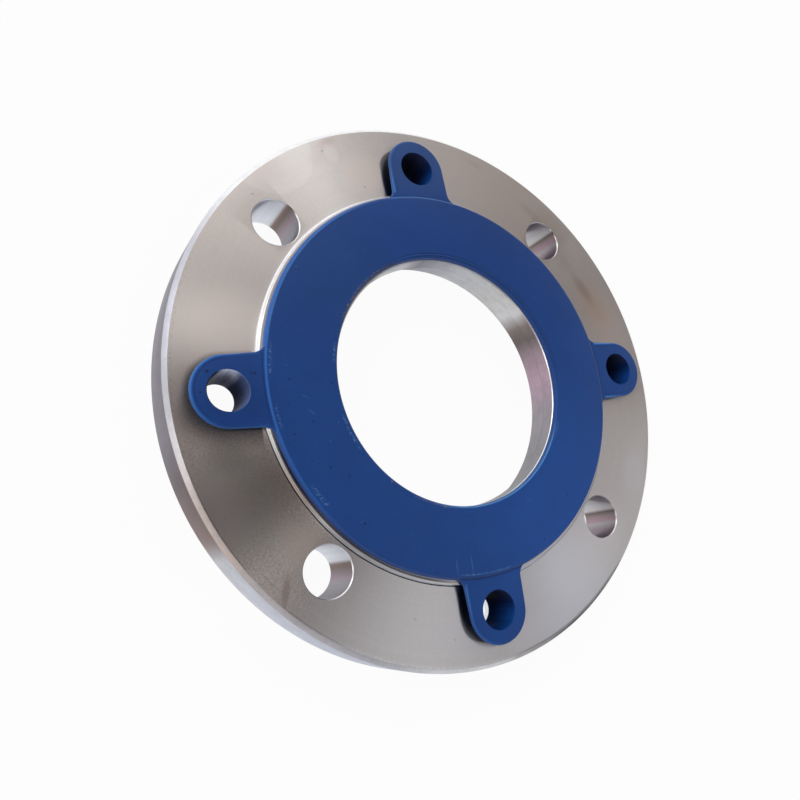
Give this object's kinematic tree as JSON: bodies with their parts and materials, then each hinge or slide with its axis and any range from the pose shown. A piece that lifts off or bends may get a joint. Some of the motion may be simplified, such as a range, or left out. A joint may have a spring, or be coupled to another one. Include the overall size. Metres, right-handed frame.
{
  "type": "socket weld flange",
  "caption": "Round steel pipe flange with a raised sealing face, bolt holes, a bore that widens to a pipe socket, and a push-on plastic face protector.",
  "frame": {"origin": "centre of the bore at the flange's back face, the lowest point of the part", "axes": "+Z along the bore axis from the back face towards the raised face and the protector; +X and +Y through two of the plugged bolt holes"},
  "size_m": [0.22, 0.22, 0.0244],
  "materials": {
    "flange_steel": "satin, faintly grained, with light water stains",
    "protector_plastic": "satin moulded blue plastic, lightly scuffed"
  },
  "bodies": {
    "root": {"flange_body": "flange_steel", "face_protector": "protector_plastic"}
  },
  "joints": []
}
